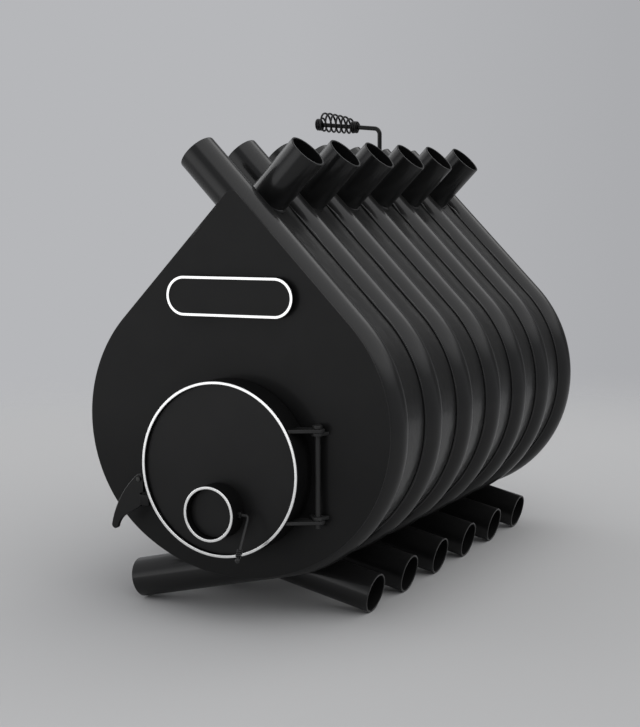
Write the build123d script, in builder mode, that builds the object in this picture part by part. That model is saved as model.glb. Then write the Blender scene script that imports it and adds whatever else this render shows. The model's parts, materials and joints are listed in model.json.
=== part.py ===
from build123d import *
import os
from math import acos, atan2, ceil, cos, degrees, pi, radians, sin, sqrt, tan

# Convection wood stove, millimetres and degrees.
# X is to the right seen from the door, Y runs back from the door, Z is up and the floor is z = 0.
# y = 0 is the centre plane of the first tube, x = 0 the mid-plane.

# Convection tubes: each has one long bend and two straight ends
tube_diameter = 76.0
tube_wall = 3.5
right_tube_count = 7
tube_step = 81.5            # from a right tube back to the next left tube
bend_radius = 252.0
bend_offset = 40.5          # bend centre out from the mid-plane
roof_slope = 46.0           # upper straight run above the horizontal
leg_slope = 13.0            # lower straight run above the horizontal
mouth_height = 862.0        # centre of the upper mouths above the floor
foot_reach = 232.5          # centre of the lower mouths from the mid-plane

# Firebox: wall strips between the tubes, and an end plate at the front and the rear
wall_offset = 19.0          # outer face of the strips outside the tube centrelines
wall_thickness = 3.0
plate_offset = 23.5         # edge of the end plates outside the tube centrelines
plate_thickness = 4.0
plate_ridge = 14.0          # radius that blunts the top of the end plates
flank_end = 56.0            # below the horizontal, where the flank passes into the keel
seat_gap = 0.3              # left between curved seats that are welded on the real stove

# Flame baffle and the two injectors that feed hot air above it
baffle_height = 515.0
baffle_thickness = 4.0
baffle_front = 260.0
injector_diameter = 22.0
injector_bore = 16.0
injector_height = 600.0
injector_reach = 60.0       # from the tube's centre towards the mid-plane, past its wall

# Door opening, neck and door drum
door_height = 284.0
door_reach = 61.0           # rim of the drum in front of the front plate
drum_diameter = 325.0
drum_wall = 5.0
rim_depth = 3.0
rim_width = 5.4
drum_gap = 5.0              # between the drum's rear edge and the front plate
disc_recess = 8.0
disc_thickness = 4.0
neck_gap = 7.5              # between the drum's bore and the neck
neck_wall = 5.0
sill_height = 35.0
sill_thickness = 4.0
sill_setback = 20.0         # behind the neck's front edge
gasket_depth = 7.0
gasket_width = 14.0
retainer_width = 3.0
retainer_depth = 8.0
edge_round = 0.8

# Hinge at the right of the door
pin_diameter = 10.0
pin_clearance = 0.2
pin_offset = 18.8           # pin axis outside the drum's side
pin_standoff = 15.7         # pin axis in front of the front plate
pin_head_diameter = 18.0
pin_head_height = 6.0
pin_tail = 9.0
hinge_eye = 26.0
bracket_eye = 22.0
bracket_width = 40.0
bracket_thickness = 6.0
bracket_inset = 5.0         # middle of the brackets' feet inwards from the pin
bracket_foot = 2.0
arm_thickness = 6.0
upper_arm_height = 359.5    # underside of the upper arm
lower_arm_height = 193.2    # underside of the lower arm
hinge_play = 0.5
arm_root_depth = 38.0
arm_root_inset = 35.0       # middle of the arms' roots inside the drum's side
arm_root_width = 20.0
arm_setback = 3.0           # roots behind the drum's front edge

# Latch at the left of the door
latch_offset = 25.98262     # pivot outside the drum's side at the keeper's top
latch_height = 252.0
latch_bolt_diameter = 5.0
latch_eye = 18.0
lug_thickness = 6.0
lug_front = 41.7            # lug's front face in front of the front plate
lug_root_width = 10.0
lug_root_height = 52.0
lug_root_inset = 10.0       # middle of the lug's root inside the drum's side
lug_root_rise = 0.0         # and above the pivot
lever_thickness = 8.0
lever_gap = 0.5
bolt_head = 8.0
bolt_head_height = 3.5
tip_radius = 7.5
tip_reach = 56.0            # centre of the lever's tip outwards and down from the pivot
tip_drop = 92.0
back_bow = (39.5, 32.5)     # points of the lever's outline, outwards and down from the pivot
belly_bow = (39.0, 77.0)
belly_end = (24.0, 67.0)
nose_reach = 2.0            # lever's nose inwards from the pivot
nose_low = 52.0             # its two ends below the pivot
nose_high = 27.0
shoulder_low = 25.0         # below the pivot, where the lever is as wide as its eye
keeper_play = 1.5           # between the nose at rest and the keeper's lip
keeper_overhang = 13.5
keeper_post = 8.0
keeper_drop = 48.0          # underside of the keeper below the pivot
keeper_height = 20.0
keeper_lip = 5.0
latch_play = 1.5

# Air inlet and throttle in the door
inlet_height = 209.0
inlet_diameter = 102.0
inlet_wall = 5.0
inlet_reach = 36.2          # rim of the inlet in front of the drum's rim
spindle_setback = 21.6      # spindle axis behind the inlet's rim
throttle_thickness = 2.0
throttle_clearance = 0.6
throttle_rod = 5.0
throttle_rod_clearance = 0.2
throttle_arm_reach = 72.0
throttle_arm = 84.0
throttle_lean = 30.0        # the hanging arm leans forward from the vertical
throttle_bend = 7.0
throttle_bush = 12.0
throttle_bush_length = 7.0
tip_bead = 9.0
throttle_coil_wire = 2.5
throttle_coil_radius = 4.5
throttle_coil_turns = 4
throttle_coil_pitch = 3.4

# Name plate, left bare
name_height = 596.5
name_length = 264.0
name_width = 74.0
name_border = 5.2
name_standoff = 15.0        # border's front face in front of the front plate
name_thickness = 3.0
border_thickness = 2.0
stud_diameter = 8.0
stud_spacing = 150.0

# Flue outlet, its damper and the spring handle
flue_height = 600.0
flue_diameter = 150.0
flue_wall = 3.0
flue_length = 150.0
flue_shoulder = 1.0         # the pipe is this much thicker up to where the next pipe stops
spigot_length = 55.0        # free end that the next pipe slides over
damper_setback = 76.0       # spindle behind the rear plate
damper_thickness = 3.0
damper_clearance = 1.0
draught_width = 60.0
draught_depth = 32.0
flue_rod = 11.0
flue_rod_clearance = 0.2
flue_rod_tail = 14.0
flue_bend = 15.0
flue_bush = 22.0
flue_bush_length = 10.0
rivet_diameter = 5.0
rivet_head = 10.0
rivet_head_height = 2.0
rivet_spacing = 80.0
crank_reach = 213.6         # upright run of the rod from the mid-plane
crank_height = 948.0
handle_rise = 4.9           # the grip climbs outwards by this angle
handle_length = 179.0
stop_start = 60.0           # inner stop from the rod's upper bend corner
stop_length = 13.0
coil_start = 62.0
coil_wire = 4.5
coil_end_radius = 12.9
coil_end_turns = 2.5        # close turns at each end
coil_open_turns = 6.8
coil_end_pitch = 5.1
coil_tail = 2.1743          # from the last turn's end to the end of the rod
coil_swell = 6.0            # radius gained by the open turns at the inner end
coil_flare = 6.0            # further radius gained towards the outer end
coil_lift = 2.5             # the swollen turns stand off the rod's axis by this much
coil_lift_flare = 6.5
coil_lean = 0.17            # the turns' tops lean outwards by this share of their height
coil_phase = 160.0

# Worked out from the sizes above
slope = radians(roof_slope)
leg = radians(leg_slope)
flank = radians(flank_end)
tube_radius = tube_diameter / 2
tube_bore = tube_radius - tube_wall
left_tube_count = right_tube_count - 1
tube_pitch = 2 * tube_step
foot_height = tube_radius * cos(leg)
leg_end_x = bend_offset + bend_radius * sin(leg)
leg_end_z = foot_height + (foot_reach + leg_end_x) * tan(leg)
bend_height = leg_end_z + bend_radius * cos(leg)
bend_angle = 180 - roof_slope - leg_slope
roof_start_x = bend_offset + bend_radius * sin(slope)
roof_start_z = bend_height + bend_radius * cos(slope)
mouth_reach = (mouth_height - roof_start_z) / tan(slope) - roof_start_x

plate_back = -tube_radius - seat_gap
plate_front = plate_back - plate_thickness
rear_inside = (right_tube_count - 1) * tube_pitch + tube_radius + seat_gap
rear_outside = rear_inside + plate_thickness

drum_radius = drum_diameter / 2
drum_bore = drum_radius - drum_wall
rim_front = plate_front - door_reach
drum_front = rim_front + rim_depth
drum_rear = plate_front - drum_gap
disc_front = rim_front + disc_recess
disc_back = disc_front + disc_thickness
neck_radius = drum_bore - neck_gap
neck_bore = neck_radius - neck_wall
neck_front = disc_back + gasket_depth
gasket_middle = neck_radius - neck_wall / 2
pin_reach = drum_radius + pin_offset
pin_y = plate_front - pin_standoff
arm_root_reach = drum_radius - arm_root_inset

latch_z = latch_height
keeper_low = latch_z - keeper_drop
keeper_top = keeper_low + keeper_height
drum_side = sqrt(drum_radius ** 2 - (door_height - keeper_top) ** 2)
latch_x = -drum_side - latch_offset
lug_face = plate_front - lug_front
lever_back = lug_face - lever_gap
lever_face = lever_back - lever_thickness
nose_x = latch_x + nose_reach
keeper_left = nose_x + keeper_play
keeper_post_left = keeper_left + keeper_overhang
keeper_right = keeper_post_left + keeper_post

inlet_radius = inlet_diameter / 2
inlet_bore = inlet_radius - inlet_wall
inlet_front = rim_front - inlet_reach
inlet_rear = inlet_front + rim_depth
throttle_y = inlet_front + spindle_setback

flue_radius = flue_diameter / 2
flue_bore = flue_radius - flue_wall
damper_y = rear_outside + damper_setback
coil_turns = coil_open_turns + 2 * coil_end_turns
coil_gain = handle_length - coil_tail - coil_start - coil_end_pitch * coil_turns
coil_open_pitch = coil_end_pitch + coil_gain * 7 / 6 / coil_open_turns


def upright(y):
    # vertical plane across the stove at depth y, seen from the door
    return Plane(origin=(0, y, 0), x_dir=(1, 0, 0), z_dir=(0, -1, 0))


def across(x):
    # vertical plane along the stove at this distance from the mid-plane
    return Plane(origin=(x, 0, 0), x_dir=(0, 1, 0), z_dir=(1, 0, 0))


def ring(front, rear, outer, inner, height, rounding=0.0):
    with BuildPart() as hoop:
        with BuildSketch(upright(front)):
            with Locations((0, height)):
                Circle(outer)
                Circle(inner, mode=Mode.SUBTRACT)
        extrude(amount=front - rear)
        if rounding:
            fillet(hoop.edges().group_by(Axis.Y)[0], rounding)
    return hoop.part


def save(part, name):
    part.label = name
    export_step(part, f"parts/{name}.step")


def centreline(side):
    # foot mouth, leg, bend and roof run of a tube, drawn in an upright plane
    lower = Line((-side * foot_reach, foot_height), (side * leg_end_x, leg_end_z))
    bend = JernArc(lower @ 1, lower % 1, bend_radius, side * bend_angle)
    Line(bend @ 1, (-side * mouth_reach, mouth_height))


def bent_tube(side, y, outer, inner=0.0):
    with BuildPart() as tube:
        with BuildLine(upright(y)) as path:
            centreline(side)
        with BuildSketch(Plane(origin=path.line @ 0, z_dir=path.line % 0)):
            Circle(outer)
            if inner:
                Circle(inner, mode=Mode.SUBTRACT)
        sweep()
    return tube.part


def half_outline(side, offset):
    # ridge, flank and keel of one side of the shell, this far outside the tube centrelines
    radius = bend_radius + offset
    shoulder_x = bend_offset + radius * sin(slope)
    shoulder_z = bend_height + radius * cos(slope)
    roof = Line((0, shoulder_z + shoulder_x * tan(slope)), (side * shoulder_x, shoulder_z))
    side_arc = JernArc(roof @ 1, roof % 1, radius, -side * (90 - roof_slope + flank_end))
    keel_radius = radius + bend_offset / cos(flank)
    keel = JernArc(side_arc @ 1, side_arc % 1, keel_radius, -side * (90 - flank_end))
    return roof @ 0, keel @ 1


def wall_strip(side, front, rear, tubes):
    with BuildPart() as strip:
        with BuildSketch(upright(rear)):
            with BuildLine():
                outer_ridge, outer_keel = half_outline(side, wall_offset)
                inner_ridge, inner_keel = half_outline(side, wall_offset - wall_thickness)
                Line(outer_ridge, inner_ridge)
                Line(outer_keel, inner_keel)
            make_face()
        extrude(amount=rear - front)
        for tube in tubes:
            add(tube, mode=Mode.SUBTRACT)
        # the crossing tubes at the ridge and the keel can cut off small scraps
        for scrap in strip.solids().sort_by(SortBy.VOLUME)[:-1]:
            add(scrap, mode=Mode.SUBTRACT)
    return strip.part


def end_plate(front, hole_radius, hole_height):
    with BuildPart() as plate:
        with BuildSketch(upright(front)) as outline:
            with BuildLine():
                half_outline(1, plate_offset)
                half_outline(-1, plate_offset)
            make_face()
            fillet(outline.vertices().sort_by(Axis.Y)[-1], plate_ridge)
            with Locations((0, hole_height)):
                Circle(hole_radius, mode=Mode.SUBTRACT)
        extrude(amount=-plate_thickness)
    return plate.part


def roof_centre(height):
    # distance of a tube's centreline from the mid-plane on its roof run
    return roof_start_x - (height - roof_start_z) / tan(slope)


def injector(side, y, tube_room):
    start = roof_centre(injector_height)
    with BuildPart() as pipe:
        with BuildSketch(across(side * start)):
            with Locations((y, injector_height)):
                Circle(injector_diameter / 2)
                Circle(injector_bore / 2, mode=Mode.SUBTRACT)
        extrude(amount=-side * (tube_radius / sin(slope) + injector_reach))
        add(tube_room, mode=Mode.SUBTRACT)
    return pipe.part


def pierced_tube(side, y):
    # first tube of a side, with the injector's hole through its inner wall
    plain_tube = bent_tube(side, y, tube_radius, tube_bore)
    with BuildPart() as tube:
        add(plain_tube)
        with BuildSketch(across(side * roof_centre(injector_height))):
            with Locations((y, injector_height)):
                Circle(injector_bore / 2)
        extrude(amount=-side * injector_reach * 1.5, mode=Mode.SUBTRACT)
    return tube.part


def biarc(start, start_way, end, end_way):
    # two tangent arcs from one point and direction to the next
    gap = end - start
    ways = start_way + end_way
    spread = 2 * (1 - start_way.dot(end_way))
    reach = (sqrt(gap.dot(ways) ** 2 + spread * gap.dot(gap)) - gap.dot(ways)) / spread
    first = start + start_way * reach
    last = end - end_way * reach
    joint = (first + last) * 0.5
    TangentArc(start, joint, tangent=start_way)
    TangentArc(joint, end, tangent=(last - first).normalized())


def wound(place, turns, wire, plane):
    # one unbroken tube of wire along place(turn), in biarcs of a quarter turn
    count = ceil(4 * turns)
    step = 1e-3
    stations = [turns * i / count for i in range(count + 1)]
    points = [plane.from_local_coords(Vector(*place(t))) for t in stations]
    ways = []
    for t in stations:
        before = plane.from_local_coords(Vector(*place(t - step)))
        after = plane.from_local_coords(Vector(*place(t + step)))
        ways.append((after - before).normalized())
    with BuildPart() as coil:
        with BuildLine() as path:
            for i in range(count):
                biarc(points[i], ways[i], points[i + 1], ways[i + 1])
        with BuildSketch(Plane(origin=points[0], z_dir=ways[0])):
            Circle(wire / 2)
        sweep(path=path.line)
    return coil.part


def least_gap(place, turns, wire):
    # smallest clear distance between points of a coil that are over half a turn apart
    fine = 48
    total = int(turns * fine)
    spots = [place(turns * i / total) for i in range(total + 1)]
    least = 1e9
    for i, a in enumerate(spots):
        for b in spots[i + fine // 2:]:
            least = min(least, sqrt(sum((p - q) ** 2 for p, q in zip(a, b))))
    return least - wire


# Convection tubes
os.makedirs("parts", exist_ok=True)
right_y = [tube_pitch * i for i in range(right_tube_count)]
left_y = [tube_step + tube_pitch * i for i in range(left_tube_count)]
for side, name, rows in ((1, "right", right_y), (-1, "left", left_y)):
    for i, y in enumerate(rows):
        tube = pierced_tube(side, y) if i == 0 else bent_tube(side, y, tube_radius, tube_bore)
        save(tube, f"{name}_tube_{i + 1}")

# Wall strips, each cut to the tubes beside it and the one that crosses it
right_room = [bent_tube(1, y, tube_radius + seat_gap) for y in right_y]
left_room = [bent_tube(-1, y, tube_radius + seat_gap) for y in left_y]
for i in range(left_tube_count):
    tubes = [right_room[i], right_room[i + 1], left_room[i]]
    save(wall_strip(1, right_y[i], right_y[i + 1], tubes), f"right_wall_{i + 1}")

left_edges = [plate_back] + left_y + [rear_inside]
for i in range(right_tube_count):
    tubes = [right_room[i]] + left_room[max(i - 1, 0):i + 1]
    save(wall_strip(-1, left_edges[i], left_edges[i + 1], tubes), f"left_wall_{i + 1}")

save(end_plate(plate_front, neck_bore, door_height), "front_plate")
save(end_plate(rear_inside, flue_bore, flue_height), "rear_plate")

# Flame baffle, welded between the side tubes and the rear plate
baffle_top = baffle_height + baffle_thickness
inner_bend = bend_radius - tube_radius
baffle_half = bend_offset + sqrt(inner_bend ** 2 - (baffle_top - bend_height) ** 2) - seat_gap
with BuildPart() as flame_baffle:
    with BuildSketch(Plane.XY.offset(baffle_height)):
        with Locations((0, (baffle_front + rear_inside) / 2)):
            Rectangle(2 * baffle_half, rear_inside - baffle_front)
    extrude(amount=baffle_thickness)
save(flame_baffle.part, "flame_baffle")

right_injector = injector(1, right_y[0], right_room[0])
left_injector = injector(-1, left_y[0], left_room[0])
with BuildPart() as injectors:
    add(right_injector)
    add(left_injector)
save(injectors.part, "injectors")

# Neck on the front plate, with the sill that keeps the ash in
save(ring(neck_front, plate_front, neck_radius, neck_bore, door_height), "door_neck")

sill_front = neck_front + sill_setback
sill_radius = neck_bore - seat_gap
with BuildPart() as neck_sill:
    with BuildSketch(upright(sill_front)):
        with Locations((0, door_height)):
            Circle(sill_radius)
            with Locations((0, sill_height)):
                Rectangle(2 * neck_radius, 2 * sill_radius, mode=Mode.SUBTRACT)
    extrude(amount=-sill_thickness)
save(neck_sill.part, "neck_sill")

# Door drum: band, bright rim, recessed disc, gasket and its retainer
save(ring(drum_front, drum_rear, drum_radius, drum_bore, door_height), "door_band")
rim = ring(rim_front, drum_front, drum_radius, drum_radius - rim_width, door_height, edge_round)
save(rim, "door_rim")

with BuildPart() as door_disc:
    with BuildSketch(upright(disc_front)):
        with Locations((0, door_height)):
            Circle(drum_radius - rim_width - seat_gap)
        with Locations((0, inlet_height)):
            Circle(inlet_bore, mode=Mode.SUBTRACT)
    extrude(amount=-disc_thickness)
save(door_disc.part, "door_disc")

gasket_outer = gasket_middle + gasket_width / 2
gasket_inner = gasket_middle - gasket_width / 2
save(ring(disc_back, neck_front, gasket_outer, gasket_inner, door_height), "door_gasket")
retainer_outer = gasket_inner - seat_gap
retainer = ring(disc_back, disc_back + retainer_depth, retainer_outer,
                retainer_outer - retainer_width, door_height)
save(retainer, "gasket_retainer")

# Hinge: arms on the drum, brackets on the front plate, one long pin
pin_radius = pin_diameter / 2
arm_front = drum_front + arm_setback
with BuildPart() as hinge_arms:
    for height in (upper_arm_height, lower_arm_height):
        with BuildSketch(Plane.XY.offset(height)) as arm_sketch:
            with Locations((pin_reach, pin_y)):
                Circle(hinge_eye / 2)
            with Locations((arm_root_reach, arm_front + arm_root_depth / 2)):
                Rectangle(arm_root_width, arm_root_depth)
            make_hull()
            with Locations((pin_reach, pin_y)):
                Circle(pin_radius + pin_clearance, mode=Mode.SUBTRACT)
        extrude(amount=arm_thickness)
    with BuildSketch(upright(rim_front)):
        with Locations((0, door_height)):
            Circle(drum_radius + seat_gap)
    extrude(amount=-door_reach, mode=Mode.SUBTRACT)
save(hinge_arms.part, "hinge_arms")

upper_bracket_height = upper_arm_height - hinge_play - bracket_thickness
lower_bracket_height = lower_arm_height + arm_thickness + hinge_play
with BuildPart() as hinge_brackets:
    for height in (upper_bracket_height, lower_bracket_height):
        with BuildSketch(Plane.XY.offset(height)):
            with Locations((pin_reach, pin_y)):
                Circle(bracket_eye / 2)
            with Locations((pin_reach - bracket_inset, plate_front - bracket_foot / 2)):
                Rectangle(bracket_width, bracket_foot)
            make_hull()
            with Locations((pin_reach, pin_y)):
                Circle(pin_radius + pin_clearance, mode=Mode.SUBTRACT)
        extrude(amount=bracket_thickness)
save(hinge_brackets.part, "hinge_brackets")

pin_bottom = lower_arm_height - pin_tail
pin_top = upper_arm_height + arm_thickness + hinge_play
with BuildPart() as hinge_pin:
    with BuildSketch(Plane.XY.offset(pin_bottom)):
        with Locations((pin_reach, pin_y)):
            Circle(pin_radius)
    extrude(amount=pin_top - pin_bottom)
    with BuildSketch(Plane.XY.offset(pin_top)):
        with Locations((pin_reach, pin_y)):
            Circle(pin_head_diameter / 2)
    extrude(amount=pin_head_height)
    fillet(hinge_pin.edges().group_by(Axis.Z)[-1], edge_round)
    chamfer(hinge_pin.edges().group_by(Axis.Z)[0], edge_round)
save(hinge_pin.part, "hinge_pin")

# Latch: lug on the drum, lever on its bolt, keeper on the front plate
with BuildPart() as latch_lug:
    with BuildSketch(upright(lug_face)):
        with Locations((latch_x, latch_z)):
            Circle(latch_eye / 2)
        with Locations((lug_root_inset - drum_radius, latch_z + lug_root_rise)):
            Rectangle(lug_root_width, lug_root_height)
        make_hull()
        with Locations((0, door_height)):
            Circle(drum_radius + seat_gap, mode=Mode.SUBTRACT)
        with Locations((latch_x, latch_z)):
            Circle(latch_bolt_diameter / 2 + pin_clearance, mode=Mode.SUBTRACT)
    extrude(amount=-lug_thickness)
save(latch_lug.part, "latch_lug")

lever_tangent = latch_eye / 2 * sqrt(0.5)
lever_right = latch_x + latch_eye / 2
tip_x = latch_x - tip_reach
tip_z = latch_z - tip_drop
with BuildPart() as latch_lever:
    with BuildSketch(upright(lever_face)):
        with BuildLine():
            back = ThreePointArc((latch_x - lever_tangent, latch_z + lever_tangent),
                                 (latch_x - back_bow[0], latch_z - back_bow[1]),
                                 (tip_x - tip_radius, tip_z))
            tip = ThreePointArc(back @ 1, (tip_x, tip_z - tip_radius),
                                (tip_x + tip_radius, tip_z))
            belly = ThreePointArc(tip @ 1, (latch_x - belly_bow[0], latch_z - belly_bow[1]),
                                  (latch_x - belly_end[0], latch_z - belly_end[1]))
            Polyline(belly @ 1, (nose_x, latch_z - nose_low), (nose_x, latch_z - nose_high),
                     (lever_right, latch_z - shoulder_low), (lever_right, latch_z), back @ 0)
        make_face()
        with Locations((latch_x, latch_z)):
            Circle(latch_eye / 2)
            Circle(latch_bolt_diameter / 2 + pin_clearance, mode=Mode.SUBTRACT)
    extrude(amount=-lever_thickness)
save(latch_lever.part, "latch_lever")

bolt_front = lever_face - lever_gap
nut_face = lug_face + lug_thickness
with BuildPart() as latch_bolt:
    with BuildSketch(upright(bolt_front)):
        with Locations((latch_x, latch_z)):
            Circle(latch_bolt_diameter / 2)
    extrude(amount=bolt_front - nut_face - bolt_head_height)
    with BuildSketch(upright(bolt_front)):
        with Locations((latch_x, latch_z)):
            RegularPolygon(bolt_head / 2, 6, major_radius=False)
    extrude(amount=bolt_head_height)
    with BuildSketch(upright(nut_face)):
        with Locations((latch_x, latch_z)):
            RegularPolygon(bolt_head / 2, 6, major_radius=False)
    extrude(amount=-bolt_head_height)
save(latch_bolt.part, "latch_bolt")

lip_back = lever_face - latch_play
with BuildPart() as latch_keeper:
    with BuildSketch(Plane.XY.offset(keeper_low)):
        with BuildLine():
            Polyline((keeper_post_left, plate_front), (keeper_right, plate_front),
                     (keeper_right, lip_back - keeper_lip), (keeper_left, lip_back - keeper_lip),
                     (keeper_left, lip_back), (keeper_post_left, lip_back), close=True)
        make_face()
    extrude(amount=keeper_height)
save(latch_keeper.part, "latch_keeper")

# Air inlet on the door disc, with its bright rim and the throttle inside
throttle_radius = throttle_rod / 2
plain_collar = ring(inlet_rear, disc_front, inlet_radius, inlet_bore, inlet_height)
with BuildPart() as inlet_collar:
    add(plain_collar)
    with BuildSketch(across(-inlet_diameter)):
        with Locations((throttle_y, inlet_height)):
            Circle(throttle_radius + throttle_rod_clearance)
    extrude(amount=2 * inlet_diameter, mode=Mode.SUBTRACT)
save(inlet_collar.part, "inlet_collar")
inlet_rim = ring(inlet_front, inlet_rear, inlet_radius, inlet_bore, inlet_height, edge_round)
save(inlet_rim, "inlet_rim")

with BuildPart() as throttle_bushes:
    for side in (1, -1):
        with BuildSketch(across(side * inlet_bore)):
            with Locations((throttle_y, inlet_height)):
                Circle(throttle_bush / 2)
                Circle(throttle_radius + throttle_rod_clearance, mode=Mode.SUBTRACT)
        extrude(amount=side * (inlet_wall + throttle_bush_length))
    with BuildSketch(upright(inlet_front)):
        with Locations((0, inlet_height)):
            Circle(inlet_radius + seat_gap)
    extrude(amount=inlet_front - rim_front, mode=Mode.SUBTRACT)
save(throttle_bushes.part, "throttle_bushes")

throttle_face = throttle_y - throttle_radius - seat_gap - throttle_thickness
swing = throttle_y - throttle_face
throttle_disc_radius = sqrt((inlet_bore - throttle_clearance) ** 2 - swing ** 2)
with BuildPart() as throttle_disc:
    with BuildSketch(upright(throttle_face)):
        with Locations((0, inlet_height)):
            Circle(throttle_disc_radius)
    extrude(amount=-throttle_thickness)
save(throttle_disc.part, "throttle_disc")

lean = radians(throttle_lean)
arm_plane = Plane(origin=(0, throttle_y, inlet_height), x_dir=(1, 0, 0),
                  z_dir=(0, -cos(lean), sin(lean)))
bush_end = inlet_radius + throttle_bush_length
with BuildPart() as throttle_arm_rod:
    with BuildLine(arm_plane) as path:
        FilletPolyline((-bush_end, 0), (throttle_arm_reach, 0),
                       (throttle_arm_reach, -throttle_arm), radius=throttle_bend)
    with BuildSketch(Plane(origin=path.line @ 0, z_dir=path.line % 0)):
        Circle(throttle_radius)
    sweep()
    with Locations(path.line @ 1):
        Sphere(tip_bead / 2)
save(throttle_arm_rod.part, "throttle_rod")


def throttle_turn(turn):
    # close coil of wire round the end of the throttle's arm
    angle = 2 * pi * turn
    low = throttle_arm - tip_bead / 2 - throttle_coil_wire / 2 - seat_gap
    return (throttle_arm_reach + throttle_coil_radius * cos(angle),
            turn * throttle_coil_pitch - low, throttle_coil_radius * sin(angle))


throttle_coil = wound(throttle_turn, throttle_coil_turns, throttle_coil_wire, arm_plane)
save(throttle_coil, "throttle_coil")
print("throttle coil gap", round(least_gap(throttle_turn, throttle_coil_turns,
                                           throttle_coil_wire), 2))

# Name plate on its studs, with a bright border
border_front = plate_front - name_standoff
name_front = border_front + border_thickness
name_back = name_front + name_thickness
with BuildPart() as name_plate:
    with BuildSketch(upright(name_front)):
        with Locations((0, name_height)):
            SlotOverall(name_length, name_width)
    extrude(amount=-name_thickness)
save(name_plate.part, "name_plate")

with BuildPart() as name_plate_border:
    with BuildSketch(upright(border_front)):
        with Locations((0, name_height)):
            SlotOverall(name_length, name_width)
            SlotOverall(name_length - 2 * name_border, name_width - 2 * name_border,
                        mode=Mode.SUBTRACT)
    extrude(amount=-border_thickness)
save(name_plate_border.part, "name_plate_border")

with BuildPart() as name_plate_studs:
    with BuildSketch(upright(name_back)):
        with Locations((0, name_height)):
            with GridLocations(stud_spacing, 0, 2, 1):
                Circle(stud_diameter / 2)
    extrude(amount=name_back - plate_front)
save(name_plate_studs.part, "name_plate_studs")

# Flue outlet on the rear plate
flue_end = rear_outside + flue_length
rod_radius = flue_rod / 2
shoulder_radius = flue_radius + flue_shoulder
shoulder = ring(rear_outside, flue_end - spigot_length, shoulder_radius, flue_bore, flue_height)
spigot = ring(rear_outside, flue_end, flue_radius, flue_bore, flue_height)
with BuildPart() as flue_pipe:
    add(shoulder)
    add(spigot)
    with BuildSketch(across(-flue_diameter)):
        with Locations((damper_y, flue_height)):
            Circle(rod_radius + flue_rod_clearance)
    extrude(amount=2 * flue_diameter, mode=Mode.SUBTRACT)
save(flue_pipe.part, "flue_pipe")

with BuildPart() as flue_bushes:
    for side in (1, -1):
        with BuildSketch(across(side * flue_bore)):
            with Locations((damper_y, flue_height)):
                Circle(flue_bush / 2)
                Circle(rod_radius + flue_rod_clearance, mode=Mode.SUBTRACT)
        extrude(amount=side * (shoulder_radius - flue_bore + flue_bush_length))
    with BuildSketch(upright(rear_outside)):
        with Locations((0, flue_height)):
            Circle(shoulder_radius + seat_gap)
    extrude(amount=-flue_length, mode=Mode.SUBTRACT)
save(flue_bushes.part, "flue_bushes")

# Damper disc riveted to the rear of its rod
damper_face = damper_y + rod_radius + seat_gap
damper_back = damper_face + damper_thickness
damper_radius = sqrt((flue_bore - damper_clearance) ** 2 - (damper_back - damper_y) ** 2)
rivet_radius = rivet_diameter / 2
with BuildPart() as flue_damper_disc:
    with BuildSketch(upright(damper_face)):
        with Locations((0, flue_height)):
            Circle(damper_radius)
            with GridLocations(rivet_spacing, 0, 2, 1):
                Circle(rivet_radius + pin_clearance, mode=Mode.SUBTRACT)
            with Locations((0, damper_radius)):
                Rectangle(draught_width, 2 * draught_depth, mode=Mode.SUBTRACT)
    extrude(amount=-damper_thickness)
save(flue_damper_disc.part, "flue_damper_disc")

grip_plane = Plane(origin=(-crank_reach, damper_y, crank_height),
                   x_dir=(-cos(radians(handle_rise)), 0, sin(radians(handle_rise))),
                   z_dir=(0, 1, 0))
with BuildPart() as flue_damper_rod:
    with BuildLine(upright(damper_y)) as path:
        FilletPolyline((flue_radius + flue_rod_tail, flue_height), (-crank_reach, flue_height),
                       (-crank_reach, crank_height),
                       (-crank_reach - handle_length * cos(radians(handle_rise)),
                        crank_height + handle_length * sin(radians(handle_rise))),
                       radius=flue_bend)
    with BuildSketch(Plane(origin=path.line @ 0, z_dir=path.line % 0)):
        Circle(rod_radius)
    sweep()
    with BuildSketch(upright(damper_y - flue_rod)):
        with Locations((0, flue_height)):
            with GridLocations(rivet_spacing, 0, 2, 1):
                Circle(rivet_radius + pin_clearance)
    extrude(amount=-2 * flue_rod, mode=Mode.SUBTRACT)
save(flue_damper_rod.part, "flue_damper_rod")

with BuildPart() as flue_damper_rivets:
    with BuildSketch(upright(damper_back)):
        with Locations((0, flue_height)):
            with GridLocations(rivet_spacing, 0, 2, 1):
                Circle(rivet_radius)
    extrude(amount=damper_back - damper_y + rod_radius + rivet_head_height / 2)
    with BuildSketch(upright(damper_back + rivet_head_height)):
        with Locations((0, flue_height)):
            with GridLocations(rivet_spacing, 0, 2, 1):
                Circle(rivet_head / 2)
    extrude(amount=rivet_head_height)
    fillet(flue_damper_rivets.edges().group_by(Axis.Y)[-1], edge_round)
save(flue_damper_rivets.part, "flue_damper_rivets")

# Spring handle: close end turns on two stops, and open turns that swell towards the tip
def handle_turn(turn):
    # share is 0 to 1 over the open turns, bulge is near 1 there and 0 at both ends of them
    share = min(max((turn - coil_end_turns) / coil_open_turns, 0.0), 1.0)
    bulge = 1 - (2 * share - 1) ** 6
    area = share - ((2 * share - 1) ** 7 + 1) / 14
    radius = coil_end_radius + (coil_swell + coil_flare * share) * bulge
    lift = (coil_lift + coil_lift_flare * share) * bulge
    along = (coil_start + coil_end_pitch * turn
             + (coil_open_pitch - coil_end_pitch) * coil_open_turns * area)
    angle = radians(coil_phase) - 2 * pi * turn
    height = lift + radius * sin(angle)
    return along + coil_lean * height, height, radius * cos(angle)


flue_handle_coil = wound(handle_turn, coil_turns, coil_wire, grip_plane)
save(flue_handle_coil, "flue_handle_coil")
print("handle coil gap", round(least_gap(handle_turn, coil_turns, coil_wire), 2))
print("handle coil ends at", round(handle_turn(coil_turns)[0], 1))

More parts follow.
